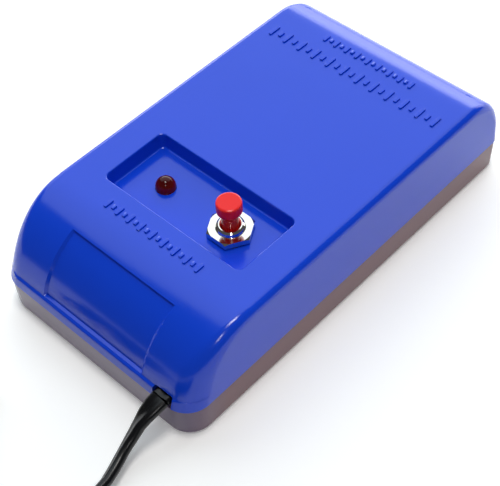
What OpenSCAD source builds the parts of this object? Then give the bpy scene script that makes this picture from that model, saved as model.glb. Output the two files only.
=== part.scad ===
// Bench demagnetizer: a two-part plastic case with a sloped front, a push button and an
// indicator lamp in a shallow well, an open iron core with a coil, and a flat twin mains lead.
// Millimetres. Origin: middle of the underside. +X to the right, +Y to the rear, +Z up.

/* [Case] */
// Width of the case
case_w = 63; // [60:0.5:70]
// Length of the case, front to rear
case_l = 113.5; // [110:0.5:125]
// Height of the flat top
case_h = 27; // [26:0.5:30]
// Height of the joint line between base and top
seam_z = 9; // [8:0.5:10]
// Wall thickness
wall = 2; // [1.6:0.1:2.2]
// Radius of the long curve down the front
front_arc_r = 21; // [20:0.5:21]
// Radius of the curve down the rear
rear_arc_r = 14; // [12:0.5:15]
// Radius of the two front corners, seen from above
front_corner_r = 6.5; // [5:0.5:7]
// Radius of the two rear corners, seen from above
rear_corner_r = 2.6; // [2:0.1:5]
// Radius along the two long top edges
edge_r = 2; // [1.5:0.1:2.5]

/* [Well] */
// Width of the well in the top
well_w = 43.8; // [42:0.1:44]
// Depth of the well, front to rear
well_l = 19.7; // [19:0.1:20]
// How far the well floor lies under the top
well_depth = 4; // [3.5:0.1:4.5]
// Y of the middle of the well, its lamp and its button
well_y = -19.7; // [-20:0.1:-19]
// X of the push button
button_x = 10; // [9:0.1:11]
// X of the indicator lamp
lamp_x = -11; // [-12:0.1:-10]

/* [Button] */
// Radius of the threaded bushing
bushing_r = 3.5; // [3.4:0.05:3.6]
// Width across the flats of the nut
nut_flats = 10; // [9.5:0.1:10]
// Radius of the red cap
cap_r = 3; // [2.8:0.1:3.1]
// Radius of the stem
stem_r = 2; // [1.9:0.05:2.1]
// Travel of the button
travel = 2.3; // [1.5:0.1:2.3]

/* [Coil] */
// Thickness of the stack of core plates
stack = 20; // [18:0.5:22]
// Number of core plates
plates = 10; // [8:1:16]
// Y of the middle of the core
core_y = 23; // [22:0.5:24]

/* [Cord] */
// Width of the flat twin cord
cord_w = 5; // [4.8:0.1:5.4]
// Thickness of the flat twin cord
cord_t = 2.4; // [2.2:0.1:2.8]
// X of the slot that the cord leaves by
slot_x = 23.2; // [22.5:0.1:23.5]

/* [Hidden] */
$fn = 48;
eps = 0.01;
half_w = case_w / 2;
half_l = case_l / 2;
draft = 0.3;
front_arc_y = -half_l + 21.25;
rear_arc_y = half_l - rear_arc_r - draft;
rim_top = 12;
lip_gap = 0.2;
lip_t = 1.2;
lip_top = seam_z + 0.9;

well_floor = case_h - well_depth;
well_skin = 1.8;
well_under = well_floor - well_skin;
well_r = 1.8;

label_w = 32.4;
label_y = -44.6;
label_z = 11.6;
label_depth = 0.6;

boss_x = 26;
boss_ys = [-37, 46];
boss_r = 3.2;
post_r = 4.2;
screw_r = 1.45;
screw_hole_r = 1.5;
head_r = 2.7;
head_hole_r = 2.9;
head_z = 1;
head_t = 2.2;
screw_end = 17;

nut_t = 1.5;
washer_t = 0.4;
nut_z = well_floor + washer_t;
lip_z = nut_z + nut_t + 1;
bushing_flange_t = 0.8;
switch_top = well_under - bushing_flange_t;
switch_bottom = 8.2;
switch_w = 11;
shelf_z = 14.6;
shelf_t = 0.8;
chamber_r = 4.4;
guide_r = 1.2;
cap_top = 33.3;
rim_t = 2.8;
cone_t = 1.8;
shoulder_t = 1;
shoulder_z = switch_top - shoulder_t - 0.1;
bridge_z = 12.5;
bridge_t = 0.6;
contact_gap = 0.05;
contact_x = 2.9;

lamp_r = 2.5;
lamp_dome_z = 23.5;
lamp_base = 17.4;
lead_pitch = 2.54;
lead_r = 0.25;

core_half = 21;
core_foot = 2;
yoke_t = 6;
leg_t = 6;
mid_leg = 12;
core_top = 23.9;
bobbin_gap = 0.2;
bobbin_wall = 1;
bobbin_z = core_foot + yoke_t + 0.2;
bobbin_h = 14;
winding_t = 6.6;
tape_t = 0.3;
clamp_t = 0.8;
clamp_pitch = 4.2;

cord_z = 10.6;
saddle_y = -47;
bundle_z = 0.6;
coil_x = 38.1;
coil_y = -118;
turn_r = 25.5;
turn_half = 4.4;
bundle_h = 10.2;
tie_t = 0.6;
tie_w = 6;
plug_x = -19.5;
plug_y = -117;
plug_z = 6;
plug_w = 22;
plug_h = 12;
plug_l = 25;
blade_w = 6.3;
blade_t = 1.5;
blade_l = 17;
blade_pitch = 12.7;

// the cord from the slot to the coil, and from the coil to the plug
lead_route = [
    [23.2, -56.75, 10.6], [23, -59.2, 9.8], [22.6, -61.8, 8], [22.6, -64.8, 5.6], [23, -68.2, 3.8],
    [24, -72, 2.6], [25.2, -76.5, 2], [25.2, -81.5, 1.9], [23.4, -87, 1.9], [20.2, -93, 1.9],
    [16.4, -99, 1.9], [12.8, -105, 2], [10.4, -111, 2.1], [9.6, -117, 2.1]
];
tail_route = [
    [9.6, -118, 8.7], [9.4, -123.5, 8.2], [8.2, -129, 7.2], [5.6, -134.4, 5.8], [1.8, -138.8, 4.4],
    [-3.2, -141.6, 3], [-8.6, -142, 2.2], [-13.4, -139.8, 2.4], [-17, -135.4, 3.4],
    [-19, -130.6, 4.8], [-19.5, -127, 6]
];

// ---- helpers ----

// a rectangle seen from above, with its own radii at the front and the rear
module plan(inset) {
    w = half_w - inset;
    l = half_l - inset;
    rf = max(front_corner_r - inset, 0.5);
    rr = max(rear_corner_r - inset, 0.5);
    translate([-w, -l + rf]) square([2 * w, 2 * l - rf - rr]);
    translate([-w + rf, -l]) square([2 * (w - rf), 2 * l]);
    translate([-w + rr, 0]) square([2 * (w - rr), l]);
    for (s = [-1, 1]) {
        translate([s * (w - rf), -l + rf]) circle(rf);
        translate([s * (w - rr), l - rr]) circle(rr);
    }
}

// the case seen from the side: a long arc down the front and a shorter one at the rear
module side_outline(inset) {
    intersection() {
        translate([-half_l + inset, 0]) square([case_l - 2 * inset, case_h - inset]);
        union() {
            translate([front_arc_y, 0]) square([rear_arc_y - front_arc_y, case_h - inset]);
            translate([front_arc_y, case_h - front_arc_r]) circle(front_arc_r - inset, $fn = 96);
            translate([rear_arc_y, case_h - rear_arc_r]) circle(rear_arc_r - inset, $fn = 96);
            translate([-half_l + inset, 0]) square([half_l, rim_top - inset]);
            translate([0, 0]) square([half_l - inset, case_h - rear_arc_r]);
        }
    }
}

// the case seen from the front: upright sides with rounded top edges
module front_outline(inset) {
    w = half_w - inset;
    h = case_h - inset;
    r = max(edge_r - inset, 0.4);
    polygon([[-w, 0], [w, 0], [w - draft, h - r], [-w + draft, h - r]]);
    translate([-w + draft + r, 0]) square([2 * (w - draft - r), h]);
    for (s = [-1, 1]) translate([s * (w - draft - r), h - r]) circle(r);
}

module case_form(inset) {
    intersection() {
        rotate([90, 0, 90]) linear_extrude(case_w, center = true) side_outline(inset);
        rotate([90, 0, 0]) linear_extrude(case_l, center = true) front_outline(inset);
        linear_extrude(case_h) plan(inset);
    }
}

module at_bosses() {
    for (x = [-boss_x, boss_x], y = boss_ys) translate([x, y, 0]) children();
}

module at_button() {
    translate([button_x, well_y, 0]) children();
}

module at_lamp() {
    translate([lamp_x, well_y, 0]) children();
}

module well_box(grow, low, high) {
    w = well_w / 2 + grow;
    l = well_l / 2 + grow;
    r = well_r + grow;
    translate([0, well_y, low]) linear_extrude(high - low) {
        square([2 * (w - r), 2 * l], center = true);
        square([2 * w, 2 * (l - r)], center = true);
        for (sx = [-1, 1], sy = [-1, 1]) translate([sx * (w - r), sy * (l - r)]) circle(r);
    }
}

// a row of plain raised bars, centred on x = 0
module mark_row(y, count, pitch, length) {
    for (i = [0 : count - 1]) {
        x = (i - (count - 1) / 2) * pitch;
        translate([x - 0.5, y - length / 2, case_h - 0.2]) cube([1, length, 0.45]);
    }
}

// points of a smooth curve through the route's own points
function curve_point(a, b, c, d, t) =
    0.5 * (2 * b + (c - a) * t + (2 * a - 5 * b + 4 * c - d) * t * t
    + (3 * b - a - 3 * c + d) * t * t * t);
function smooth_route(p, steps) = [
    for (i = [0 : len(p) - 2], k = [0 : steps - 1])
        curve_point(p[max(i - 1, 0)], p[i], p[i + 1], p[min(i + 2, len(p) - 1)], k / steps),
    p[len(p) - 1]
];
function unit(v) = v / norm(v);
function heading(p, i) = unit(p[min(i + 1, len(p) - 1)] - p[max(i - 1, 0)]);
function across(t) = abs(t.z) > 0.95 ? [1, 0, 0] : unit(cross(t, [0, 0, 1]));

// a tube of a flat or round section swept along the points
module swept(p, w, h, sides = 8) {
    rings = len(p);
    corners = [
        for (i = [0 : rings - 1])
            let (t = heading(p, i), a = across(t), b = unit(cross(a, t)))
                for (k = [0 : sides - 1])
                    let (q = 360 * (k + 0.5) / sides)
                        p[i] + a * cos(q) * w / 2 + b * sin(q) * h / 2
    ];
    walls = [
        for (i = [0 : rings - 2], k = [0 : sides - 1])
            let (n = (k + 1) % sides)
                [i * sides + k, i * sides + n, (i + 1) * sides + n, (i + 1) * sides + k]
    ];
    start = [[for (k = [sides - 1 : -1 : 0]) k]];
    finish = [[for (k = [0 : sides - 1]) (rings - 1) * sides + k]];
    polyhedron(corners, concat(walls, start, finish));
}

// ---- case ----

module top_case() {
    color("royalblue") difference() {
        union() {
            difference() {
                case_form(0);
                case_form(wall);
            }
            well_box(wall - 0.4, well_under, case_h - 1);
            intersection() {
                at_bosses() translate([0, 0, seam_z]) cylinder(r = boss_r, h = case_h);
                case_form(wall - 0.5);
            }
            mark_row(35, 12, 4.7, 4);
            mark_row(41.4, 9, 3.4, 2.6);
            mark_row(-34.2, 9, 3.6, 2.8);
        }
        translate([-case_w, -case_l, -eps]) cube([2 * case_w, 2 * case_l, seam_z + eps]);
        well_box(0, well_floor, case_h + 1);
        at_bosses() translate([0, 0, seam_z - 1]) cylinder(r = screw_hole_r, h = screw_end - seam_z + 2);
        at_button() translate([0, 0, well_under - 1]) cylinder(r = bushing_r + 0.05, h = 6);
        at_lamp() translate([0, 0, well_under - 1]) cylinder(r = lamp_r + 0.05, h = 6);
        label_recess();
        cord_slot();
    }
}

// a shallow panel let into the front curve
module label_recess() {
    difference() {
        translate([-label_w / 2, -case_l, label_z]) cube([label_w, case_l + label_y, case_h]);
        case_form(label_depth);
    }
}

module cord_slot() {
    translate([slot_x - cord_w / 2 - 0.1, -case_l / 2 - 1, 0])
        cube([cord_w + 0.2, wall + 3.5, cord_z + cord_t / 2 + 0.1]);
}

module base() {
    color([0.28, 0.24, 0.27]) difference() {
        union() {
            difference() {
                linear_extrude(seam_z) plan(0.15);
                translate([0, 0, wall]) linear_extrude(seam_z) plan(wall);
            }
            difference() {
                translate([0, 0, wall]) linear_extrude(lip_top - wall) plan(wall + lip_gap);
                translate([0, 0, wall]) linear_extrude(lip_top) plan(wall + lip_gap + lip_t);
            }
            intersection() {
                at_bosses() cylinder(r = post_r, h = seam_z);
                linear_extrude(seam_z) plan(wall - 0.5);
            }
            saddle();
            for (y = [core_y - core_half - 5, core_y + core_half + 5])
                translate([0, y, wall - eps]) cylinder(r = 2.6, h = 2.6 + eps);
        }
        at_bosses() translate([0, 0, -1]) cylinder(r = 1.6, h = seam_z + 5);
        at_bosses() translate([0, 0, -1]) cylinder(r = head_hole_r, h = head_z + head_t + 1);
        at_bosses() translate([0, 0, seam_z]) cylinder(r = post_r + 0.4, h = 3);
        for (x = [-clamp_pitch, clamp_pitch]) translate([slot_x + x, saddle_y, 4]) cylinder(r = 0.95, h = 9);
        for (y = [core_y - core_half - 5, core_y + core_half + 5])
            translate([0, y, 1]) cylinder(r = 1.2, h = 6);
        translate([slot_x - cord_w / 2 - 0.6, -case_l / 2 - 1, seam_z]) cube([cord_w + 1.2, 8, 4]);
    }
}

// the block inside the base that the cord lies on
module saddle() {
    intersection() {
        translate([slot_x - 7, saddle_y - 2.5, wall - eps]) cube([14, 5, cord_z - cord_t / 2 - wall]);
        linear_extrude(case_h) plan(wall + lip_gap);
    }
}

module case_screws() {
    color("silver") at_bosses() {
        difference() {
            translate([0, 0, head_z]) cylinder(r = head_r, h = head_t);
            translate([-2, -0.35, head_z - 1]) cube([4, 0.7, 2]);
            translate([-0.35, -2, head_z - 1]) cube([0.7, 4, 2]);
        }
        translate([0, 0, head_z + head_t - eps]) cylinder(r = screw_r, h = 12);
        translate([0, 0, head_z + head_t + 12 - eps]) cylinder(r1 = screw_r, r2 = 0.4, h = 1.4);
    }
}

// ---- push button ----

module switch_body() {
    color([0.1, 0.1, 0.11]) at_button() difference() {
        translate([-switch_w / 2, -switch_w / 2, switch_bottom])
            cube([switch_w, switch_w, switch_top - switch_bottom]);
        translate([0, 0, switch_bottom + 1]) cylinder(r = chamber_r, h = shelf_z - switch_bottom - 1);
        translate([0, 0, shelf_z + shelf_t]) cylinder(r = chamber_r, h = 10);
        translate([0, 0, shelf_z - 1]) cylinder(r = guide_r + 0.07, h = 4);
        for (x = [-contact_x, contact_x])
            translate([x - 0.35, -1.1, switch_bottom - 1]) cube([0.7, 2.2, 3]);
    }
}

module switch_bushing() {
    color("gainsboro") at_button() rotate_extrude() polygon([
        [stem_r + 0.06, switch_top], [5.4, switch_top], [5.4, well_under], [bushing_r, well_under],
        [bushing_r, lip_z - 0.9], [bushing_r - 0.25, lip_z - 0.35], [bushing_r - 0.7, lip_z],
        [stem_r + 0.55, lip_z], [stem_r + 0.25, lip_z - 0.3], [stem_r + 0.06, lip_z - 0.9]
    ]);
}

module switch_nut() {
    color("whitesmoke") at_button() translate([0, 0, nut_z]) difference() {
        intersection() {
            cylinder(r = nut_flats / 2 / cos(30), h = nut_t, $fn = 6);
            rotate_extrude() polygon([
                [0, 0], [5.8, 0], [5.8, nut_t - 0.35], [5.2, nut_t], [0, nut_t]
            ]);
        }
        translate([0, 0, -1]) cylinder(r = bushing_r + 0.03, h = nut_t + 2);
    }
}

module lock_washer() {
    color("silver") at_button() translate([0, 0, well_floor]) difference() {
        cylinder(r = 4.9, h = washer_t);
        translate([0, 0, -1]) cylinder(r = bushing_r + 0.05, h = 3);
        for (i = [0 : 15]) rotate([0, 0, i * 22.5]) translate([4.3, -0.25, -1]) cube([2, 0.5, 3]);
    }
}

module button_plunger() {
    cone_z = cap_top - rim_t;
    color("red") at_button() rotate_extrude() polygon([
        [0, bridge_z + bridge_t], [guide_r, bridge_z + bridge_t], [guide_r, shoulder_z],
        [3, shoulder_z], [3, shoulder_z + shoulder_t], [stem_r, shoulder_z + shoulder_t],
        [stem_r, cone_z - cone_t], [cap_r, cone_z], [cap_r, cap_top - 0.4],
        [cap_r - 0.12, cap_top - 0.12], [cap_r - 0.4, cap_top], [0, cap_top]
    ]);
}

module switch_spring() {
    turns = 3;
    low = shelf_z + shelf_t + 0.22;
    high = shoulder_z - 0.22;
    steps = turns * 12;
    helix = [
        for (i = [0 : steps])
            let (q = i * 360 * turns / steps)
                [2.2 * cos(q), 2.2 * sin(q), low + (high - low) * i / steps]
    ];
    color("lightsteelblue") at_button() swept(helix, 0.4, 0.4, 6);
}

module contact_bridge() {
    color("goldenrod") at_button() {
        translate([-3.7, -1.1, bridge_z]) cube([7.4, 2.2, bridge_t]);
        for (x = [-contact_x, contact_x])
            translate([x, 0, bridge_z - 0.4]) cylinder(r = 0.8, h = 0.4);
    }
}

module fixed_contacts() {
    top = bridge_z - 0.4 - travel - contact_gap;
    color("goldenrod") at_button() for (x = [-contact_x, contact_x]) {
        translate([x, 0, top - 0.4]) cylinder(r = 0.8, h = 0.4);
        translate([x - 0.3, -1, 4.6]) difference() {
            cube([0.6, 2, top - 5]);
            translate([-1, 1, 1]) rotate([0, 90, 0]) cylinder(r = 0.45, h = 3);
        }
    }
}

// ---- indicator lamp ----

module indicator_lamp() {
    color([0.45, 0.02, 0.03]) at_lamp() rotate_extrude() union() {
        translate([0, lamp_base]) square([lamp_r, lamp_dome_z - lamp_base]);
        translate([0, lamp_base]) square([2.9, 1]);
        intersection() {
            translate([0, lamp_dome_z]) circle(lamp_r);
            translate([0, lamp_dome_z]) square([lamp_r, lamp_r]);
        }
    }
}

module lamp_leads() {
    color("silver") at_lamp() for (s = [-1, 1]) {
        translate([s * lead_pitch / 2, 0, 9]) cylinder(r = lead_r, h = lamp_base - 9);
        translate([s * lead_pitch / 2, 0, 9]) sphere(lead_r);
        translate([s * lead_pitch / 2, 0, 9]) rotate([90, 0, 0]) cylinder(r = lead_r, h = 2.5);
    }
}

module lamp_resistor() {
    color("tan") at_lamp() translate([-lead_pitch / 2, -2.5, 9]) rotate([90, 0, 0]) {
        cylinder(r = 1.15, h = 6.3);
        translate([0, 0, 6.3]) cylinder(r = lead_r, h = 2.3);
    }
}

module lamp_diode() {
    color([0.15, 0.15, 0.16]) at_lamp() translate([lead_pitch / 2 + 1.2, -2.5, 9]) rotate([90, 0, 0]) {
        cylinder(r = 1.35, h = 5.2);
        translate([0, 0, 5.2]) cylinder(r = lead_r, h = 4.1);
    }
}

// ---- coil and core ----

module core_outline() {
    h = core_top - core_foot;
    difference() {
        translate([-core_half, 0]) square([2 * core_half, h]);
        for (s = [-1, 1]) {
            low = s < 0 ? -core_half + leg_t : mid_leg / 2;
            translate([low, yoke_t]) square([core_half - leg_t - mid_leg / 2, h]);
        }
    }
}

module core_plates() {
    pitch = stack / plates;
    color([0.42, 0.42, 0.44]) for (i = [0 : plates - 1])
        translate([-stack / 2 + i * pitch, core_y, core_foot])
            rotate([90, 0, 90]) linear_extrude(pitch - 0.05) core_outline();
}

module round_block(x, y, z, r) {
    linear_extrude(z) {
        square([2 * x, 2 * (y - r)], center = true);
        square([2 * (x - r), 2 * y], center = true);
        for (sx = [-1, 1], sy = [-1, 1]) translate([sx * (x - r), sy * (y - r)]) circle(r);
    }
}

module coil_bobbin() {
    hx = stack / 2 + bobbin_gap;
    hy = mid_leg / 2 + bobbin_gap;
    fx = hx + bobbin_wall + winding_t + tape_t + 0.2;
    fy = hy + bobbin_wall + winding_t + tape_t + 0.2;
    color("ivory") translate([0, core_y, bobbin_z]) difference() {
        union() {
            translate([0, 0, 0]) round_block(hx + bobbin_wall, hy + bobbin_wall, bobbin_h, 0.5);
            round_block(fx, fy, 1, 1);
            translate([0, 0, bobbin_h - 1]) round_block(fx, fy, 1, 1);
        }
        translate([-hx, -hy, -1]) cube([2 * hx, 2 * hy, bobbin_h + 2]);
    }
}

module ring_block(x, y, t, z, r) {
    difference() {
        round_block(x + t, y + t, z, r + t);
        translate([0, 0, -1]) round_block(x, y, z + 2, r);
    }
}

module coil_winding() {
    hx = stack / 2 + bobbin_gap + bobbin_wall;
    hy = mid_leg / 2 + bobbin_gap + bobbin_wall;
    color([0.72, 0.36, 0.16]) translate([0, core_y, bobbin_z + 1.05])
        ring_block(hx, hy, winding_t, bobbin_h - 2.1, 0.5);
}

module winding_tape() {
    hx = stack / 2 + bobbin_gap + bobbin_wall + winding_t;
    hy = mid_leg / 2 + bobbin_gap + bobbin_wall + winding_t;
    color("khaki") translate([0, core_y, bobbin_z + 1.1])
        ring_block(hx, hy, tape_t, bobbin_h - 2.2, 0.5 + winding_t);
}

// two bent straps that hook over the outer legs and are screwed down at their feet
module core_clamps() {
    color("lightgray") for (s = [-1, 1]) translate([-5, core_y, 0]) mirror([0, s < 0 ? 1 : 0, 0]) {
        translate([0, core_half, wall]) cube([10, clamp_t, core_top - wall + clamp_t]);
        translate([0, core_half - 4, core_top]) cube([10, 4 + clamp_t, clamp_t]);
        difference() {
            translate([0, core_half, 4.6]) cube([10, 8.5, clamp_t]);
            translate([5, core_half + 5, 3]) cylinder(r = 1.35, h = 5);
        }
    }
}

module core_screws() {
    color("silver") for (y = [core_y - core_half - 5, core_y + core_half + 5]) translate([0, y, 0]) {
        translate([0, 0, 1.2]) cylinder(r = 1.15, h = 4.3);
        translate([0, 0, 4.6 + clamp_t]) cylinder(r = 2.4, h = 1.6);
    }
}

// ---- wiring inside ----

module cord_clamp() {
    color("ivory") difference() {
        translate([slot_x - 5.8, saddle_y - 2, cord_z + cord_t / 2]) cube([11.6, 4, 2]);
        for (x = [-clamp_pitch, clamp_pitch]) translate([slot_x + x, saddle_y, 8]) cylinder(r = 1, h = 9);
    }
}

module clamp_screws() {
    low = 5;
    top = cord_z + cord_t / 2 + 2;
    color("silver") for (x = [-clamp_pitch, clamp_pitch]) translate([slot_x + x, saddle_y, 0]) {
        translate([0, 0, low]) cylinder(r = 0.9, h = top - low);
        translate([0, 0, top]) cylinder(r = 1.4, h = 1.2);
    }
}

module cord_inner() {
    color([0.07, 0.07, 0.08])
        swept([[slot_x, -half_l, cord_z], [slot_x, -52, cord_z], [slot_x, -48, cord_z],
               [slot_x, -44.3, cord_z]], cord_w, cord_t);
}

live_route = [
    [slot_x + 1.3, -44.3, 10.6], [24, -42.9, 10.6], [22.2, -42.1, 10.6], [20, -40.6, 9.8],
    [18.7, -37, 8], [17.8, -31, 5.8], [16.8, -24, 5.2], [15.4, -20.3, 5.5], [13.25, -19.7, 5.6]
];
switched_route = [
    [6.75, -19.7, 7.1], [4.6, -19, 6.9], [1, -14.5, 6], [-5, -10, 4.6], [-12, -7, 4.6],
    [-18, 0, 6], [-20.2, 9, 8.6], [-20.8, 16, 10.6], [-20.4, 19.3, 11.4], [-18.2, 20, 11.5]
];
lamp_route = [
    [-8.53, -36.55, 9], [-8.1, -38.6, 8.7], [-5, -40, 7.6], [0, -38, 6], [3, -33, 5],
    [4.4, -26, 4.7], [5, -21.5, 4.9], [6.75, -19.7, 5.2]
];
neutral_route = [
    [slot_x - 1.3, -44.3, 10.6], [20.6, -43.9, 10.4], [18, -43.2, 9.6], [11, -43, 7.6],
    [2, -43.4, 6.5], [-8, -43, 6.5], [-15.5, -40, 7.6], [-18.9, -36.4, 8.7], [-18.2, -33.8, 9],
    [-16.05, -33.5, 9]
];
return_route = [
    [-16.05, -32, 9], [-18.4, -31.2, 8.7], [-21.5, -27, 7], [-22.8, -18, 5.4], [-23, -6, 5.4],
    [-22.6, 12, 8.4], [-21.8, 22, 12.6], [-20.6, 26, 13.5], [-18.2, 26.5, 13.5]
];

module wire_live() {
    color("saddlebrown") swept(smooth_route(live_route, 3), 1.6, 1.6);
}

module wire_switched() {
    color("saddlebrown") swept(smooth_route(switched_route, 3), 1.4, 1.4);
}

module wire_lamp() {
    color("firebrick") swept(smooth_route(lamp_route, 3), 1.1, 1.1);
}

module wire_neutral() {
    color("steelblue") {
        swept(smooth_route(neutral_route, 3), 1.6, 1.6);
        swept(smooth_route(return_route, 3), 1.4, 1.4);
    }
}

module splice_sleeves() {
    color([0.1, 0.1, 0.1]) {
        translate([-16, -32.75, 9]) rotate([0, 90, 0]) cylinder(r = 1.7, h = 5.5);
        translate([lamp_x + lead_pitch / 2 + 1.2, -31.5, 9]) rotate([90, 0, 0]) cylinder(r = 1.1, h = 5);
    }
}

// ---- cord and plug ----

module cord_lead() {
    color([0.07, 0.07, 0.08]) swept(smooth_route(lead_route, 4), cord_w, cord_t);
}

module cord_tail() {
    color([0.07, 0.07, 0.08]) swept(smooth_route(tail_route, 4), cord_w, cord_t);
}

module cord_coil() {
    color([0.07, 0.07, 0.08]) translate([coil_x, coil_y, bundle_z]) rotate_extrude()
        translate([turn_r - turn_half, 0]) square([2 * turn_half, bundle_h]);
}

// a strip wrapped round the bundle of turns
module cord_tie() {
    color([0.2, 0.2, 0.2]) translate([coil_x + turn_r, coil_y, bundle_z + bundle_h / 2])
        rotate([90, 0, 0]) linear_extrude(tie_w, center = true) difference() {
            square([2 * turn_half + 0.6 + 2 * tie_t, bundle_h + 2 * tie_t], center = true);
            square([2 * turn_half + 0.6, bundle_h], center = true);
        }
}

module plug_body() {
    color([0.07, 0.07, 0.08]) translate([plug_x, plug_y, 0]) difference() {
        translate([0, plug_l, 0]) rotate([90, 0, 0]) linear_extrude(plug_l) {
            translate([0, plug_h / 2]) square([plug_w, plug_h - 4], center = true);
            translate([0, plug_h / 2]) square([plug_w - 4, plug_h], center = true);
            for (sx = [-1, 1], sy = [-1, 1])
                translate([sx * (plug_w / 2 - 2), plug_h / 2 + sy * (plug_h / 2 - 2)]) circle(2);
        }
        for (s = [-1, 1]) translate([s * (plug_w / 2 + 18), 10, -1]) cylinder(r = 20, h = plug_h + 2);
    }
}

module plug_relief() {
    color([0.07, 0.07, 0.08]) translate([plug_x, plug_y, plug_z]) rotate([90, 0, 0])
        rotate_extrude() polygon([[0, 0], [4.4, 0], [3.4, 10], [0, 10]]);
}

module plug_blades() {
    color("silver") for (s = [-1, 1])
        translate([plug_x + s * blade_pitch / 2 - blade_t / 2, plug_y + plug_l, plug_z - blade_w / 2])
            difference() {
                cube([blade_t, blade_l, blade_w]);
                translate([-1, 12, blade_w / 2]) rotate([0, 90, 0]) cylinder(r = 1.5, h = 5);
            }
}

top_case();
base();
case_screws();
switch_body();
switch_bushing();
switch_nut();
lock_washer();
button_plunger();
switch_spring();
contact_bridge();
fixed_contacts();
indicator_lamp();
lamp_leads();
lamp_resistor();
lamp_diode();
coil_bobbin();
coil_winding();
winding_tape();
core_plates();
core_clamps();
core_screws();
cord_clamp();
clamp_screws();
cord_inner();
wire_live();
wire_switched();
wire_neutral();
wire_lamp();
splice_sleeves();
cord_lead();
cord_coil();
cord_tail();
cord_tie();
plug_body();
plug_relief();
plug_blades();
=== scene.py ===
# %% [markdown]
# # A bench demagnetizer
# This lesson dresses a two-part plastic case, its push button, its lamp and its mains cord.
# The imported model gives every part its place, so each step only adds looks to it.
# Lengths are thought of in millimetres and are turned to metres where a mesh is made.

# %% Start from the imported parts
import math
import bpy, bmesh
from mathutils import Matrix, Vector


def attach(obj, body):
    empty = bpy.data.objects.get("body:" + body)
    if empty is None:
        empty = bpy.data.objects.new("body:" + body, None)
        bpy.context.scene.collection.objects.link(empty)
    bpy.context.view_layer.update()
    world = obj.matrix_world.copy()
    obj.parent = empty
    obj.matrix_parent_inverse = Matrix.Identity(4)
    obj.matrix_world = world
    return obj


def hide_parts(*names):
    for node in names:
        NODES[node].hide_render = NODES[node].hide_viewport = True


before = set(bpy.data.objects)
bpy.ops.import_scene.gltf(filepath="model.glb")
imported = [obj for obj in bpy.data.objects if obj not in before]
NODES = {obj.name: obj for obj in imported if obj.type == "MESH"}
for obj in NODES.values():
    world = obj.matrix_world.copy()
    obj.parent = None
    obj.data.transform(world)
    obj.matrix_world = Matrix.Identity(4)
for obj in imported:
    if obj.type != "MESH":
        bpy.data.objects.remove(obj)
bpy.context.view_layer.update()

MM = 0.001

# %% [markdown]
# ## Camera
# The eye stands above the front right corner and looks down at the case. A long lens keeps
# the sides nearly parallel. The camera's axes are written out, because they are easier to
# reason about than three angles.

# %% Camera
EYE = Vector((137.54, -140.21, 228.30)) * MM
LOOK = Vector((-0.4559, 0.4517, -0.7669))
RIGHT = Vector((0.7338, 0.6784, -0.0366))

lens = bpy.data.cameras.new("bench_camera")
lens.lens = 85.78
lens.sensor_width = 36
lens.clip_start = 0.01
lens.clip_end = 20
camera = bpy.data.objects.new("bench_camera", lens)
bpy.context.scene.collection.objects.link(camera)
back = -LOOK.normalized()
side = (RIGHT - RIGHT.dot(back) * back).normalized()
up = back.cross(side)
camera.matrix_world = Matrix((
    (side.x, up.x, back.x, EYE.x), (side.y, up.y, back.y, EYE.y),
    (side.z, up.z, back.z, EYE.z), (0, 0, 0, 1)))
bpy.context.scene.camera = camera
print("camera distance, mm:", round(EYE.length / MM))

# %% [markdown]
# ## Mesh helpers
# Most moulded pieces are a stack of closed outlines joined by faces, with a cap at each end.
# One helper makes such a stack. It keeps the faces pointing outward and the ends closed.

# %% Mesh helpers
def add_object(name, mesh):
    thing = bpy.data.objects.new(name, mesh)
    bpy.context.scene.collection.objects.link(thing)
    return thing


def stack(name, rings):
    """Joins outlines that have as many points each, and caps the two ends."""
    count, size = len(rings), len(rings[0])
    verts = [Vector(p) * MM for ring in rings for p in ring]
    faces = []
    for i in range(count - 1):
        j = i + 1
        for k in range(size):
            n = (k + 1) % size
            faces.append((i * size + k, i * size + n, j * size + n, j * size + k))
    faces.append(tuple(range(size - 1, -1, -1)))
    faces.append(tuple((count - 1) * size + k for k in range(size)))
    mesh = bpy.data.meshes.new(name)
    mesh.from_pydata(verts, [], faces)
    tidy(mesh)
    return add_object(name, mesh)


def tidy(mesh):
    """Merges points that coincide and turns every face outward."""
    work = bmesh.new()
    work.from_mesh(mesh)
    bmesh.ops.remove_doubles(work, verts=work.verts, dist=1e-7)
    bmesh.ops.recalc_face_normals(work, faces=work.faces)
    work.to_mesh(mesh)
    work.free()


def cut(target, tool, operation="DIFFERENCE"):
    """Joins the tool to the target or takes it away, and then drops the tool."""
    step = target.modifiers.new("cut", "BOOLEAN")
    step.operation = operation
    step.solver = "EXACT"
    step.object = tool
    settle(target)
    bpy.data.objects.remove(tool)


def settle(thing):
    """Turns the modifiers' result into the object's own plain mesh."""
    graph = bpy.context.evaluated_depsgraph_get()
    done = bpy.data.meshes.new_from_object(thing.evaluated_get(graph))
    thing.modifiers.clear()
    thing.data = done
    return thing


def smooth(thing, angle=32):
    """Smooth shading that stays sharp across steep edges and true on wide flat faces."""
    mesh = thing.data
    for face in mesh.polygons:
        face.use_smooth = True
    work = bmesh.new()
    work.from_mesh(mesh)
    for edge in work.edges:
        steep = len(edge.link_faces) == 2 and edge.calc_face_angle(0) > math.radians(angle)
        edge.smooth = not steep
    work.to_mesh(mesh)
    work.free()
    weigh = thing.modifiers.new("weigh", "WEIGHTED_NORMAL")
    weigh.keep_sharp = True
    weigh.weight = 100
    return settle(thing)


def arc(cx, cy, r, start, end, steps):
    angles = [start + (end - start) * i / steps for i in range(steps + 1)]
    return [(cx + r * math.cos(math.radians(a)), cy + r * math.sin(math.radians(a))) for a in angles]


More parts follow.
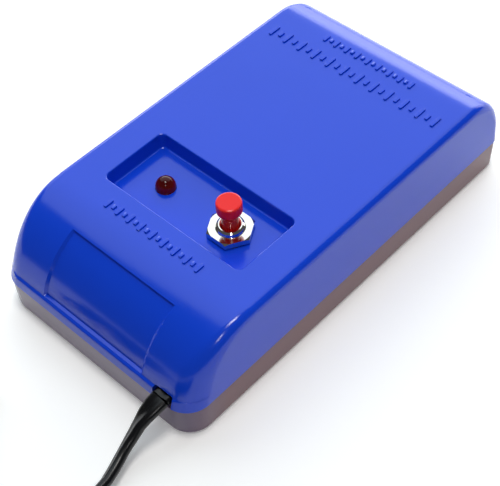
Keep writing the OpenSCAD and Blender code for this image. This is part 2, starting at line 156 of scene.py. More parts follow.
def rounded(hx, hy, r, steps=8):
    """An upright rectangle's outline with round corners, anticlockwise from the right."""
    line = []
    for sx, sy, a in ((1, 1, 0), (-1, 1, 90), (-1, -1, 180), (1, -1, 270)):
        line += arc(sx * (hx - r), sy * (hy - r), r, a, a + 90, steps)
    return line

# %% [markdown]
# ## The upper case half
# The real half is one moulding: a flat top, a long curve down the front and a shorter curve
# at the rear. Its edges are soft, and the front corners grow rounder towards the bottom.
# It could be carved from a block with bevels, but a bevel has one width all along. So the
# shape is swept instead: one outline of the side, pushed outwards step by step, with a
# rounding that changes along the way.

# %% Side outline of the case
# half the width, half the length, and the height
CASE_W, CASE_L, CASE_H = 31.5, 56.75, 27.0
SEAM = 9.1
WALL = 2.0
# middle and radius of the two curves, seen from the side
FRONT_Y, FRONT_Z, FRONT_R = -35.5, 6.0, 21.0
REAR_Y, REAR_Z, REAR_R = 42.45, 13.0, 14.0
# angle at which the front curve meets the rim under it
FRONT_END = 163.5
# edge radii: front corners, top of the front curve, long top edges, rear corners
CORNER_R, FRONT_TOP_R, EDGE_R, REAR_CORNER_R = 6.5, 2.2, 2.0, 2.6
FRONT_STEPS, REAR_STEPS, EDGE_STEPS = 32, 24, 10
# how far each side leans in, and the height above the joint line where it has done so
LEAN = 0.3
SEAM_RISE = 9
# the rim under the front curve: height, then y with the small ledge and y without it
FRONT_RIM = ((SEAM, -56.75, -56.75), (10.2, -56.6, -56.32), (11.3, -56.38, -55.89),
             (11.6, -56.28, -55.78), (11.76, -56.1, -55.71), (11.82, -55.85, -55.69))


def ease(t):
    """From 0 to 1 with a soft start and a soft end."""
    t = min(1, max(0, t))
    return t * t * (3 - 2 * t)


def side_points(inset, low, ledge):
    """(y, z, outward y, outward z, edge radius) from the front's foot to the rear's foot."""
    points = []
    for z, stepped, plain in FRONT_RIM:
        points.append((plain + (stepped - plain) * ledge, z, -1, 0, CORNER_R))
    for i in range(FRONT_STEPS + 1):
        t = i / FRONT_STEPS
        a = math.radians(FRONT_END + (90 - FRONT_END) * t)
        r = CORNER_R + (FRONT_TOP_R - CORNER_R) * ease(t)
        points.append((FRONT_Y + FRONT_R * math.cos(a), FRONT_Z + FRONT_R * math.sin(a),
                       math.cos(a), math.sin(a), r))
    for y in (-34.5, -20, 0, 20, 41):
        points.append((y, CASE_H, 0, 1, EDGE_R))
    for i in range(REAR_STEPS + 1):
        t = i / REAR_STEPS
        a = math.radians(90 - 90 * t)
        r = EDGE_R + (REAR_CORNER_R - EDGE_R) * ease(t)
        points.append((REAR_Y + REAR_R * math.cos(a), REAR_Z + REAR_R * math.sin(a),
                       math.cos(a), math.sin(a), r))
    points.append((CASE_L, SEAM, 1, 0.02, REAR_CORNER_R))
    moved = []
    for y, z, ny, nz, r in points:
        moved.append((y - ny * inset, z - nz * inset, ny, nz, max(r - inset, 0.5)))
    first, last = moved[0], moved[-1]
    moved[0] = (first[0], low) + first[2:]
    moved[-1] = (last[0], low) + last[2:]
    return moved


def case_skin(name, inset, low):
    """The side outline swept across the case, with its edges rounded and its foot level."""
    width = CASE_W - inset
    left = [(-1, k) for k in range(EDGE_STEPS, -1, -1)]
    right = [(1, k) for k in range(EDGE_STEPS + 1)]
    rings = []
    for sign, k in left + right:
        phi = math.radians(90 * k / EDGE_STEPS)
        ring = []
        for y, z, ny, nz, r in side_points(inset, low, max(0, 1 - k / 3)):
            rise = min(1, max(0, z - SEAM) / SEAM_RISE)
            inward = Vector((ny, nz * rise)).normalized() * r * (1 - math.cos(phi))
            x = sign * (width - r + r * math.sin(phi) - LEAN * rise)
            ring.append((x, y - inward.x, z - inward.y))
        rings.append(ring)
    return stack(name, rings)


case_top = case_skin("case_top", 0, SEAM)
cut(case_top, case_skin("hollow", WALL, SEAM - 3))
print("upper half, faces:", len(case_top.data.polygons))

# %% [markdown]
# ## The well, the label panel and the cord slot
# The well is pressed into the top with sloped walls, a soft rim and a soft foot. The label
# panel is a shallow step that follows the front curve. Each is made as a solid tool in its
# own shape and cut away, as a mould's core would leave it.

# %% Cut the well
# half the width, the middle, the floor's height, and half the length
WELL_X, WELL_Y, WELL_FLOOR = 21.9, -19.6, 23.0
WELL_HALF = 9.85
FOOT_R, RIM_R = 0.45, 0.35
BUTTON = (10.0, -19.7)
LAMP = (-11.0, -19.7)
BUTTON_HOLE, LAMP_HOLE = 3.55, 2.55
# where the four screws stand, seen from above
SCREWS = [(x, y) for x in (-26, 26) for y in (-37, 46)]


def well_rings():
    """(height, growth of the outline) from the floor up, with a soft foot and a soft rim."""
    line = [(WELL_FLOOR, -1.15)]
    for angle in (-65, -45, -25, -5):
        a = math.radians(angle)
        line.append((WELL_FLOOR + FOOT_R * (1 + math.sin(a)), -1.15 + FOOT_R * math.cos(a)))
    line.append((25.8, -0.42))
    for angle in (10, 30, 50, 68, 80):
        a = math.radians(angle)
        line.append((CASE_H - RIM_R * (1 - math.sin(a)), -0.05 - RIM_R * math.cos(a)))
    line.append((28.5, -0.1))
    return line


def well_tool():
    rings = []
    for z, grow in well_rings():
        outline = rounded(WELL_X + grow, WELL_HALF + grow, 1.9 + grow * 0.8, 8)
        rings.append([(x, WELL_Y + y, z) for x, y in outline])
    return stack("well_tool", rings)


def well_tub():
    """The material under and round the well, inside the case."""
    rings = []
    for z, grow in ((21.2, 0.2), (21.4, 0.45), (26.2, 1.5)):
        outline = rounded(WELL_X + grow, WELL_HALF + grow, 2.2 + grow, 6)
        rings.append([(x, WELL_Y + y, z) for x, y in outline])
    return stack("well_tub", rings)


def post(name, x, y, r, low, high, sides=40):
    """An upright round bar."""
    angles = [2 * math.pi * k / sides for k in range(sides)]
    circle = [(x + r * math.cos(a), y + r * math.sin(a)) for a in angles]
    return stack(name, [[(px, py, z) for px, py in circle] for z in (low, high)])


cut(case_top, well_tub(), operation="UNION")
for x, y in SCREWS:
    cut(case_top, post("boss", x, y, 3.1, 9.2, 25.6), operation="UNION")
    cut(case_top, post("pilot", x, y, 1.5, 8, 18))
cut(case_top, well_tool())
cut(case_top, post("button_hole", *BUTTON, BUTTON_HOLE, 20, 24))
cut(case_top, post("lamp_hole", *LAMP, LAMP_HOLE, 20, 24))
print("well cut, faces:", len(case_top.data.polygons))

# %% Cut the label panel and the cord slot
PANEL_HALF, PANEL_DEPTH = 15.7, 0.75
# angles on the front curve where the panel starts and ends
PANEL_TOP, PANEL_FOOT = 113.6, 162.6
# where the cord leaves the case
SLOT_X, EXIT_Z = 23.2, 10.6
SOFT_EDGE = 0.26


def panel_tool():
    """A band that follows the front curve just under its surface, with sloped side walls."""
    above = -0.35
    across = [(-PANEL_HALF - 0.8, above)]
    across += [(PANEL_HALF * i / 10, PANEL_DEPTH) for i in range(-10, 11)]
    across.append((PANEL_HALF + 1.25, above))
    outer = arc(FRONT_Y, FRONT_Z, FRONT_R + 3, 166, PANEL_TOP, 10)
    rings = []
    for x, deep in across:
        inner = arc(FRONT_Y, FRONT_Z, FRONT_R - deep, PANEL_TOP, PANEL_FOOT, 40)
        rings.append([(x, y, z) for y, z in inner + outer])
    return stack("panel_tool", rings)


def slot_tool():
    outline = rounded(2.85, 2.3, 0.9, 5)
    return stack("slot_tool", [[(SLOT_X + x, y, 10.0 + z) for x, z in outline] for y in (-60, -51.2)])


cut(case_top, panel_tool())
cut(case_top, slot_tool())
soften = case_top.modifiers.new("soften", "BEVEL")
soften.width = SOFT_EDGE * MM
soften.segments = 3
soften.limit_method = "ANGLE"
soften.angle_limit = math.radians(38)
settle(case_top)
smooth(case_top)
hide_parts("top_case")
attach(case_top, "case")
print("upper half done, faces:", len(case_top.data.polygons))

# %% [markdown]
# ## The tray under it
# The lower half is a plain tray. Its outline steps in a hair from the upper half, which
# makes the joint line read, and its bottom edge is rounded where it meets the bench. A lip
# stands up inside the upper half and keeps the two in line.

# %% Tray
def case_plan(inset, steps=10):
    """The case's outline from above, rounder at the front than at the rear."""
    w, depth = CASE_W - inset, CASE_L - inset
    rf, rr = max(CORNER_R - inset, 0.6), max(REAR_CORNER_R - inset, 0.6)
    line = arc(w - rr, depth - rr, rr, 0, 90, steps)
    line += arc(-w + rr, depth - rr, rr, 90, 180, steps)
    line += arc(-w + rf, -depth + rf, rf, 180, 270, steps)
    return line + arc(w - rf, -depth + rf, rf, 270, 360, steps)


# (how far in from the case's outline, height): up the outside, over the lip, down the inside
TRAY_LINE = [(1.35, 0.0), (0.95, 0.07), (0.6, 0.28), (0.42, 0.6), (0.35, 1.0), (0.22, 5.0),
             (0.15, 8.8), (0.25, 9.0), (2.2, 9.0), (2.2, 10.4), (2.35, 10.5), (3.3, 10.5),
             (3.4, 10.4), (3.4, 9.0), (3.4, 2.4), (3.8, 2.0)]
tray = stack("case_tray", [[(x, y, z) for x, y in case_plan(i)] for i, z in TRAY_LINE])
for x, y in SCREWS:
    cut(tray, post("tray_post", x, y, 4.2, 1.5, 8.9), operation="UNION")
    cut(tray, post("screw_hole", x, y, 1.6, -1, 12))
    cut(tray, post("head_hole", x, y, 2.9, -1, 3.2))
gap_outline = rounded(3.1, 3.6, 0.4, 4)
slot_gap = stack("slot_gap", [[(SLOT_X + x, y, 12.5 + z) for x, z in gap_outline] for y in (-60, -50)])
cut(tray, slot_gap)
smooth(tray, 40)
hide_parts("base")
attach(tray, "case")
print("tray faces:", len(tray.data.polygons))

# %% [markdown]
# ## The mains cord
# A flat twin cord is two round strands side by side with a groove between them. It leaves
# the slot flat, drops to the bench and turns on its edge as it goes. The rest is wound in a
# bundle, three turns wide and two high, and a tie holds it.
# A curve with a bevel could make it, but a twist along a curve is hard to steer. So the
# outline is carried along a list of points, and each point has its own turn.

# %% Cord route
LEAD = [(SLOT_X, -CASE_L, EXIT_Z), (23, -59.2, 9.8), (22.6, -61.8, 8), (22.6, -64.8, 5.6),
        (23, -68.2, 3.8), (24, -72, 2.8), (25.2, -76.5, 2.4), (25.2, -81.5, 2.3),
        (23.4, -87, 2.3), (20.2, -93, 2.5), (16.4, -99, 2.8), (12.8, -105, 3.1),
        (10.4, -111, 3.3), (9.6, -117, 3.3)]
TAIL = [(9.4, -123.5, 8.4), (8.2, -129, 7.4), (5.6, -134.4, 6), (1.8, -138.8, 4.6),
        (-3.2, -141.6, 3.6), (-8.6, -142, 3.1), (-13.4, -139.8, 3.2), (-17, -135.4, 3.8),
        (-19, -130.6, 4.9), (-19.5, -127, 6)]
COIL_X, COIL_Y, COIL_R = 38.1, -118.0, 25.5
CORD_W, CORD_T = 5.0, 2.4
TURN_STEPS = 48
TURN_PITCH = 3.0
LOW_LAYER, LAYER_RISE = 3.15, 5.1


def coil_points():
    """Three turns inward on the bench, then three outward on top of them."""
    points = []
    columns = [TURN_PITCH * c for c in (1, 0, -1, -1, 0, 1, 1)]
    for step in range(6 * TURN_STEPS + 1):
        turn, part = divmod(step / TURN_STEPS, 1)
        turn = int(turn)
        shift = ease((part - 0.86) / 0.14)
        following = columns[min(turn + 1, 6)]
        r = COIL_R + columns[turn] + (following - columns[turn]) * shift
        climbed = 0
        if turn == 2:
            climbed = shift
        elif turn > 2:
            climbed = 1
        z = LOW_LAYER + LAYER_RISE * climbed
        a = math.pi + 2 * math.pi * (turn + part)
        points.append(Vector((COIL_X + r * math.cos(a), COIL_Y + r * math.sin(a), z)))
    return points


def through(points, steps):
    """A smooth line through the points."""
    p = [Vector(q) for q in points]
    line = []
    for i in range(len(p) - 1):
        a, b, c, d = p[max(i - 1, 0)], p[i], p[i + 1], p[min(i + 2, len(p) - 1)]
        for k in range(steps):
            t = k / steps
            line.append(0.5 * (2 * b + (c - a) * t + (2 * a - 5 * b + 4 * c - d) * t * t
                               + (3 * b - a - 3 * c + d) * t ** 3))
    return line + [p[-1]]


def evenly(line, gap):
    """The same line with points one gap apart."""
    run = [0.0]
    for a, b in zip(line, line[1:]):
        run.append(run[-1] + (b - a).length)
    count = round(run[-1] / gap)
    out, j = [], 0
    for i in range(count + 1):
        s = run[-1] * i / count
        while j < len(run) - 2 and run[j + 1] < s:
            j += 1
        t = (s - run[j]) / max(run[j + 1] - run[j], 1e-9)
        out.append(line[j].lerp(line[j + 1], t))
    return out, run[-1]


coil_start = coil_points()
route = through(LEAD[:-1] + [tuple(p) for p in coil_start[0:1]], 6)[:-1] + coil_start[:-1]
route += through([tuple(coil_start[-1])] + TAIL, 6)
route, cord_length = evenly(route, 2.4)
print("cord, mm:", round(cord_length), "outlines:", len(route))

# %% Cord
def twin_outline(w, t, steps=9):
    """Two strands and the web between them."""
    r, off = t / 2, (w - t) / 2
    right = arc(off, 0, r, -128, 128, steps)
    left = arc(-off, 0, r, 52, 308, steps)
    return right + left


def turn_at(s):
    """Degrees that the flat cord has turned, s mm from the slot."""
    whole = cord_length
    stops = [(0, 0), (2, -6), (9, -50), (14, -62), (34, -66), (54, -90), (whole - 62, -90),
             (whole - 30, -40), (whole - 8, 0), (whole + 1, 0)]
    for (a, u), (b, v) in zip(stops, stops[1:]):
        if s <= b:
            return u + (v - u) * ease((s - a) / (b - a))
    return 0


def carried(name, line, outline, turns):
    """The outline carried along the line, turned at each point by its own angle."""
    rings = []
    for i, p in enumerate(line):
        ahead = (line[min(i + 1, len(line) - 1)] - line[max(i - 1, 0)]).normalized()
        across = ahead.cross(Vector((0, 0, 1))).normalized()
        over = across.cross(ahead)
        a = math.radians(turns[i])
        u = across * math.cos(a) + over * math.sin(a)
        v = over * math.cos(a) - across * math.sin(a)
        rings.append([tuple(p + u * x + v * y) for x, y in outline])
    return stack(name, rings)


gap = cord_length / (len(route) - 1)
turns = [turn_at(i * gap) for i in range(len(route))]
for p, turn in zip(route, turns):
    lowest = CORD_T / 2 + (CORD_W - CORD_T) / 2 * abs(math.sin(math.radians(turn)))
    p.z = max(p.z, lowest + 0.03)
cord = carried("mains_cord", route, twin_outline(CORD_W, CORD_T), turns)
smooth(cord, 60)
INSIDE_L = 12.45
inside = [Vector((SLOT_X, -CASE_L + i * INSIDE_L / 6, EXIT_Z)) for i in range(6, -1, -1)]
cord_inside = carried("cord_inside", inside, twin_outline(CORD_W, CORD_T), [0] * len(inside))
smooth(cord_inside, 60)
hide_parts("cord_inner")
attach(cord_inside, "case")
print("cord faces:", len(cord.data.polygons))
low = min(v.co.z for v in cord.data.vertices) / MM
print("lowest point of the cord, mm:", round(low, 2))

# %% [markdown]
# ## Finishes
# A finish is a small tree of shader nodes. Sums on a value are written as Python sums, and
# each one adds its own Math node, so the tree reads like arithmetic. Everything that varies
# is worked out from the piece's own Object coordinates.

# %% A small kit for finishes
class Value:
    """A socket that takes part in sums."""

    def __init__(self, tree, socket):
        self.tree, self.socket = tree, socket

    def _sum(self, operation, first, second):
        node = self.tree.nodes.new("ShaderNodeMath")
        node.operation = operation
        for slot_in, item in zip(node.inputs, (first, second)):
            if isinstance(item, Value):
                self.tree.links.new(item.socket, slot_in)
            else:
                slot_in.default_value = item
        return Value(self.tree, node.outputs[0])

    def __add__(self, other):
        return self._sum("ADD", self, other)

    def __radd__(self, other):
        return self._sum("ADD", other, self)

    def __sub__(self, other):
        return self._sum("SUBTRACT", self, other)

    def __rsub__(self, other):
        return self._sum("SUBTRACT", other, self)

    def __mul__(self, other):
        return self._sum("MULTIPLY", self, other)

    def __rmul__(self, other):
        return self._sum("MULTIPLY", other, self)

    def __truediv__(self, other):
        return self._sum("DIVIDE", self, other)

    def __gt__(self, other):
        return self._sum("GREATER_THAN", self, other)


class Finish:
    """One material and the ways to add nodes to it."""

    def __init__(self, name):
        self.material = bpy.data.materials.new(name)
        self.material.use_nodes = True
        self.tree = self.material.node_tree
        self.shader = next(n for n in self.tree.nodes if n.type == "BSDF_PRINCIPLED")
        self.place = self.add("ShaderNodeTexCoord", output="Object")

    def add(self, kind, settings=None, output=0, **sockets):
        node = self.tree.nodes.new(kind)
        for key, item in (settings or {}).items():
            setattr(node, key, item)
        for key, item in sockets.items():
            self.feed(node.inputs[key.replace("_", " ")], item)
        return Value(self.tree, node.outputs[output])

    def feed(self, socket, item):
        if isinstance(item, Value):
            self.tree.links.new(item.socket, socket)
        else:
            socket.default_value = item

    def axes(self):
        node = self.tree.nodes.new("ShaderNodeSeparateXYZ")
        self.tree.links.new(self.place.socket, node.inputs[0])
        return [Value(self.tree, out) for out in node.outputs]

    def noise(self, scale, detail=2.0, roughness=0.5, vector=None):
        return self.add("ShaderNodeTexNoise", Vector=vector or self.place, Scale=scale,
                        Detail=detail, Roughness=roughness)

    def stretched(self, x, y, z):
        return self.add("ShaderNodeMapping", Vector=self.place, Scale=(x, y, z))

    def mix(self, amount, first, second):
        node = self.tree.nodes.new("ShaderNodeMix")
        node.data_type = "RGBA"
        self.feed(node.inputs[0], amount)
        self.feed(node.inputs[6], first)
        self.feed(node.inputs[7], second)
        return Value(self.tree, node.outputs[2])

    def bump(self, height, strength, distance):
        return self.add("ShaderNodeBump", Height=height, Strength=strength, Distance=distance)

    def set(self, **sockets):
        for key, item in sockets.items():
            self.feed(self.shader.inputs[key.replace("_", " ")], item)
        return self.material


def rgb(r, g, b):
    return (r, g, b, 1.0)


def shade(colour, factor):
    return rgb(*(min(1.0, c * factor) for c in colour[:3]))


# %% [markdown]
# ## Plastics
# Moulded plastic is one even colour, yet it is never quite even: the gloss clouds a little
# where hands and the mould touched it, and a faint grain lifts the surface. Both are small.

# %% Plastics
def plastic(name, colour, rough, cloud=0.05, grain=0.02, dust=0.0, shine=0.5, front=None):
    f = Finish(name)
    clouds = f.noise(38.0, 3.0, 0.55)
    fine = f.noise(2600.0, 2.0, 0.5)
    tone = f.mix(clouds, shade(colour, 0.96), shade(colour, 1.04))
    # painted light: the front end of the piece takes the second colour, the paler, bluer tone that
    # light gives its front face
    if front:
        y = f.axes()[1]
        tone = f.mix(y * -90 - 4.0, tone, front)
    if dust:
        specks = f.noise(900.0, 4.0, 0.7)
        tone = f.mix((specks > 0.66) * dust, tone, rgb(0.5, 0.48, 0.46))
    return f.set(Base_Color=tone, Roughness=rough + (clouds - 0.5) * cloud * 2,
                 Normal=f.bump(fine, grain, 0.00004), IOR=1.46, Specular_IOR_Level=shine)


blue_case = plastic("blue_case", rgb(0.004, 0.053, 0.64), 0.16, 0.04, 0.04)
# painted light: the tray's front end is painted paler and bluer, as its front face looks in the light,
# and the rest the warmer, darker shade of its sides
tray_plastic = plastic("tray_plastic", rgb(0.16, 0.062, 0.08), 0.2, 0.05, 0.05,
                       front=rgb(0.12, 0.085, 0.155))
red_cap = plastic("red_cap", rgb(0.82, 0.006, 0.006), 0.28, 0.05, 0.06, shine=0.35)
black_moulding = plastic("black_moulding", rgb(0.014, 0.014, 0.016), 0.38, 0.08, 0.12)
cord_sheath = plastic("cord_sheath", rgb(0.004, 0.004, 0.005), 0.26, 0.08, 0.1, shine=0.4)
plug_rubber = plastic("plug_rubber", rgb(0.01, 0.01, 0.011), 0.34, 0.08, 0.2)
tie_plastic = plastic("tie_plastic", rgb(0.03, 0.03, 0.033), 0.42, 0.08, 0.1)
nylon_white = plastic("nylon_white", rgb(0.72, 0.68, 0.56), 0.42, 0.08, 0.1, dust=0.3)
brown_wire = plastic("brown_wire", rgb(0.13, 0.045, 0.018), 0.3, 0.06, 0.05)
blue_wire = plastic("blue_wire", rgb(0.02, 0.11, 0.40), 0.3, 0.06, 0.05)
red_wire = plastic("red_wire", rgb(0.42, 0.015, 0.015), 0.3, 0.06, 0.05)


def lamp_finish():
    """Dark tinted resin, with painted glow: brighter red round the foot for light shining through its
    edge, dark towards the top.
    """
    f = Finish("lamp_resin")
    z = f.axes()[2]
    haze = f.noise(420.0, 2.0, 0.5)
    # painted glow: the resin is brighter red low down and dark towards the top
    painted_glow = f.mix((z - 0.0225) * 300, rgb(0.24, 0.008, 0.004), rgb(0.05, 0.0015, 0.002))
    return f.set(Base_Color=painted_glow, Roughness=0.04 + haze * 0.04, IOR=1.4,
                 Specular_IOR_Level=0.3)


lamp_resin = lamp_finish()

# %% [markdown]
# ## Metals
# Plated and drawn metals differ mostly in how rough they are and in which way they are
# rough. A noise stretched along one direction gives fine lines, and a broad noise gives the
# clouds of a plated surface.

# %% Metals
def metal(name, colour, rough, lines=(1, 1, 1), cloud=0.08, depth=0.05, tint=0.08):
    f = Finish(name)
    broad = f.noise(150.0, 3.0, 0.55)
    fine = f.noise(1500.0, 3.0, 0.6, f.stretched(*lines))
    tone = f.mix(broad, shade(colour, 1 - tint), shade(colour, 1 + tint))
    return f.set(Base_Color=tone, Metallic=1.0, Roughness=rough + (fine - 0.5) * cloud,
                 Normal=f.bump(fine, depth, 0.00003))


nickel = metal("nickel_plate", rgb(0.80, 0.76, 0.70), 0.10, cloud=0.08)
zinc = metal("zinc_plate", rgb(0.60, 0.61, 0.62), 0.3, (1, 1, 6))
# painted shade: the lock washer is made dark steel so a dark ring shows under the nut, where shade
# falls
dark_steel = metal("washer_steel_painted_shade", rgb(0.10, 0.10, 0.105), 0.34)
spring_wire = metal("spring_wire", rgb(0.42, 0.43, 0.45), 0.28, (1, 1, 8))
contact_brass = metal("contact_brass", rgb(0.72, 0.50, 0.20), 0.26, (6, 1, 1))
blade_brass = metal("blade_brass", rgb(0.74, 0.66, 0.48), 0.24, (8, 1, 8), tint=0.05)


def core_finish():
    """Punched plates: a blue-grey oxide with rust in scattered patches."""
    f = Finish("core_plate_steel")
    broad = f.noise(90.0, 4.0, 0.6)
    fine = f.noise(1400.0, 3.0, 0.6, f.stretched(1, 8, 1))
    rust = (broad > 0.62) * 0.35
    tone = f.mix(rust, rgb(0.16, 0.165, 0.18), rgb(0.22, 0.10, 0.05))
    return f.set(Base_Color=tone, Metallic=0.75, Roughness=0.42 + fine * 0.2,
                 Normal=f.bump(fine, 0.2, 0.00005))


def winding_finish():
    """Layers of fine enamelled wire: a tight line for each turn."""
    f = Finish("enamelled_copper")
    z = f.axes()[2]
    turns = f.add("ShaderNodeMath", {"operation": "SINE"}, Value=z * 21000)
    cloud = f.noise(160.0, 3.0, 0.5)
    tone = f.mix(cloud, rgb(0.40, 0.11, 0.035), rgb(0.60, 0.20, 0.07))
    return f.set(Base_Color=tone, Metallic=0.85, Roughness=0.3 + cloud * 0.12,
                 Normal=f.bump(turns, 0.6, 0.00008))


def tape_finish():
    f = Finish("amber_tape")
    wrinkle = f.noise(260.0, 3.0, 0.55, f.stretched(1, 1, 3))
    tone = f.mix(wrinkle, rgb(0.62, 0.44, 0.07), rgb(0.74, 0.56, 0.14))
    return f.set(Base_Color=tone, Roughness=0.2 + wrinkle * 0.15, Coat_Weight=0.4,
                 Normal=f.bump(wrinkle, 0.35, 0.0001))


def resistor_finish():
    """A tan body with four bands round it, at places along its length."""
    f = Finish("resistor_lacquer")
    y = f.axes()[1]
    tone = rgb(0.56, 0.42, 0.24)
    for centre, colour in ((-0.0240, rgb(0.35, 0.03, 0.02)), (-0.0252, rgb(0.25, 0.02, 0.30)),
                           (-0.0264, rgb(0.45, 0.30, 0.02)), (-0.0275, rgb(0.50, 0.38, 0.10))):
        band = f.add("ShaderNodeMath", {"operation": "COMPARE"})
        node = band.socket.node
        f.feed(node.inputs[0], y)
        node.inputs[1].default_value = centre
        node.inputs[2].default_value = 0.00028
        tone = f.mix(band, tone, colour)
    grain = f.noise(900.0, 2.0, 0.5)
    return f.set(Base_Color=tone, Roughness=0.3 + grain * 0.15, Normal=f.bump(grain, 0.1, 0.00005))


core_steel = core_finish()
copper_winding = winding_finish()
amber_tape = tape_finish()
resistor_lacquer = resistor_finish()
diode_black = plastic("diode_black", rgb(0.02, 0.02, 0.022), 0.3, 0.06, 0.1)
print("finishes:", len(bpy.data.materials))

# %% Give every piece its finish
def wear(thing, material):
    thing.data.materials.clear()
    thing.data.materials.append(material)


FINISHES = {
    "case_screws": zinc, "switch_body": black_moulding, "switch_bushing": nickel,
    "switch_nut": nickel, "lock_washer": dark_steel, "button_plunger": red_cap,
    "switch_spring": spring_wire, "contact_bridge": contact_brass,
    "fixed_contacts": contact_brass, "indicator_lamp": lamp_resin, "lamp_leads": zinc,
    "lamp_resistor": resistor_lacquer, "lamp_diode": diode_black, "coil_bobbin": nylon_white,
    "coil_winding": copper_winding, "winding_tape": amber_tape, "core_plates": core_steel,
    "core_clamps": zinc, "core_screws": zinc, "cord_clamp": nylon_white, "clamp_screws": zinc,
    "wire_live": brown_wire, "wire_switched": brown_wire,
    "wire_neutral": blue_wire, "wire_lamp": red_wire, "splice_sleeves": black_moulding,
    "cord_tie": tie_plastic, "plug_body": plug_rubber, "plug_relief": plug_rubber,
    "plug_blades": blade_brass,
}
for node_name, material in FINISHES.items():
    wear(NODES[node_name], material)
wear(case_top, blue_case)
wear(tray, tray_plastic)
wear(cord, cord_sheath)
wear(cord_inside, cord_sheath)
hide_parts("cord_lead", "cord_coil", "cord_tail")
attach(cord, "case")
cord_length * MM
[tuple(p * MM) for p in route]

# %% [markdown]
# ## Raised marks
# The moulding carries three rows of small raised marks, two near the rear and one in front
# of the well. They are plain bars, long and short in turn. Modelling each one by hand would be slow to
# change, so Geometry Nodes lay one soft-edged bar along a line and shorten every other one.

# %% Node tree for a row
def row_tree():
    tree = bpy.data.node_groups.new("row_of_marks", "GeometryNodeTree")
    for label, kind in (("Mark", "Geometry"), ("Count", "Int"), ("Pitch", "Float"),
                        ("Start", "Vector"), ("Short", "Float"), ("Finish", "Material")):
        tree.interface.new_socket(label, in_out="INPUT", socket_type="NodeSocket" + kind)
    tree.interface.new_socket("Row", in_out="OUTPUT", socket_type="NodeSocketGeometry")
    new, link = tree.nodes.new, tree.links.new
    given, result = new("NodeGroupInput"), new("NodeGroupOutput")
    offset = new("ShaderNodeCombineXYZ")
    link(given.outputs["Pitch"], offset.inputs["X"])
    line = new("GeometryNodeMeshLine")
    link(given.outputs["Count"], line.inputs["Count"])
    link(given.outputs["Start"], line.inputs["Start Location"])
    link(offset.outputs[0], line.inputs["Offset"])
    odd = new("ShaderNodeMath")
    odd.operation = "MODULO"
    odd.inputs[1].default_value = 2
    link(new("GeometryNodeInputIndex").outputs[0], odd.inputs[0])
    length = new("ShaderNodeMix")
    length.inputs[2].default_value = 1
    link(odd.outputs[0], length.inputs[0])
    link(given.outputs["Short"], length.inputs[3])
    size = new("ShaderNodeCombineXYZ")
    size.inputs[0].default_value = size.inputs[2].default_value = 1
    link(length.outputs[0], size.inputs[1])
    place = new("GeometryNodeInstanceOnPoints")
    link(line.outputs[0], place.inputs["Points"])
    link(given.outputs["Mark"], place.inputs["Instance"])
    link(size.outputs[0], place.inputs["Scale"])
    real, finish = new("GeometryNodeRealizeInstances"), new("GeometryNodeSetMaterial")
    link(place.outputs[0], real.inputs[0])
    link(real.outputs[0], finish.inputs["Geometry"])
    link(given.outputs["Finish"], finish.inputs["Material"])
    link(finish.outputs[0], result.inputs[0])
    return tree


def with_tree(thing, tree, **given):
    step = thing.modifiers.new("laid_out", "NODES")
    step.node_group = tree
    for item in tree.interface.items_tree:
        if item.in_out == "INPUT" and item.name in given:
            step[item.identifier] = given[item.name]
    return settle(thing)


marks_tree = row_tree()
print("inputs:", [i.name for i in marks_tree.interface.items_tree if i.in_out == "INPUT"])

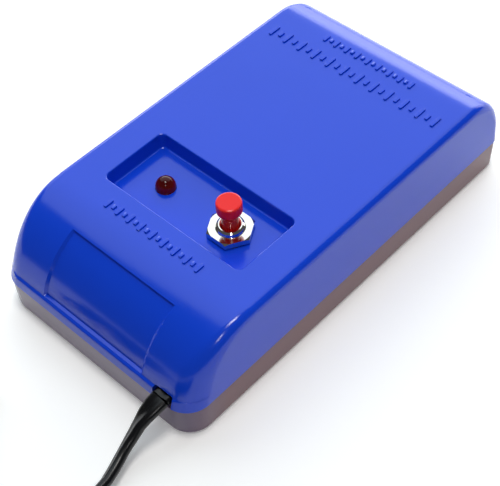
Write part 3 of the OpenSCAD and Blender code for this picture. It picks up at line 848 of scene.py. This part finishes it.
# %% Rows of marks
ROWS = [(35.0, 23, 2.35, 3.9, 0.5), (41.4, 17, 1.7, 2.6, 0.5), (-34.2, 17, 1.8, 2.8, 0.5)]
rows = []
for y, count, pitch, length, short in ROWS:
    rings = [[(px, py, z) for px, py in rounded(0.46 + g, length / 2 + g, 0.4 + g, 4)]
             for z, g in ((-0.3, 0), (0.26, 0), (0.34, -0.04), (0.38, -0.12))]
    row = stack("row_of_marks", rings)
    start = (-(count - 1) / 2 * pitch * MM, y * MM, CASE_H * MM)
    with_tree(row, marks_tree, Count=count, Pitch=pitch * MM, Start=start, Short=short,
              Finish=blue_case)
    rows.append(row)
marks = rows[0]
with bpy.context.temp_override(active_object=marks, selected_editable_objects=rows):
    bpy.ops.object.join()
marks.name = "surface_marks"
smooth(marks, 40)
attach(marks, "case")
print("marks, faces:", len(marks.data.polygons))

# %% [markdown]
# ## Bench and light
# The case stands on a plain pale sheet. A broad soft light above and behind gives the top
# its sheen, and a small bright light near the eye gives the sparkle on the rounded corner.

# %% Bench and light
def sheet_of(name, size, z):
    mesh = bpy.data.meshes.new(name)
    h = size / 2
    mesh.from_pydata([(-h, -h, z), (h, -h, z), (h, h, z), (-h, h, z)], [], [(0, 1, 2, 3)])
    return add_object(name, mesh)


bench = sheet_of("bench", 6.0, -0.00002)
bench_finish = Finish("bench_paper")
bench_finish.set(Base_Color=rgb(0.97, 0.97, 0.97), Roughness=0.9,
                 Emission_Color=rgb(1, 1, 1), Emission_Strength=0.17)
wear(bench, bench_finish.material)


def soft_light(name, direction, distance, size, power, colour=(1, 1, 1)):
    data = bpy.data.lights.new(name, "AREA")
    data.shape = "RECTANGLE"
    data.size, data.size_y = size
    data.energy = power
    data.color = colour
    lamp = bpy.data.objects.new(name, data)
    bpy.context.scene.collection.objects.link(lamp)
    d = Vector(direction).normalized()
    lamp.location = d * distance
    lamp.rotation_mode = "QUATERNION"
    lamp.rotation_quaternion = d.to_track_quat("Z", "Y")
    return lamp


soft_light("rear_softbox", (-0.5, 0.5, 0.7), 1.2, (2.0, 1.6), 15.5, (0.84, 0.95, 1.0))
soft_light("rear_wall", (-0.45, 0.88, 0.16), 1.5, (2.4, 1.0), 20)
soft_light("overhead_light", (0.06, -0.03, 1), 0.8, (0.2, 0.2), 2.5, (1.0, 0.98, 0.94))
soft_light("corner_light", (0.48, -0.46, 0.75), 0.7, (0.04, 0.16), 0.5)
world = bpy.data.worlds.new("studio")
world.use_nodes = True
world.node_tree.nodes["Background"].inputs[0].default_value = rgb(0.95, 0.96, 1.0)
world.node_tree.nodes["Background"].inputs[1].default_value = 0.08
bpy.context.scene.world = world
bpy.context.scene.view_settings.view_transform = "Standard"
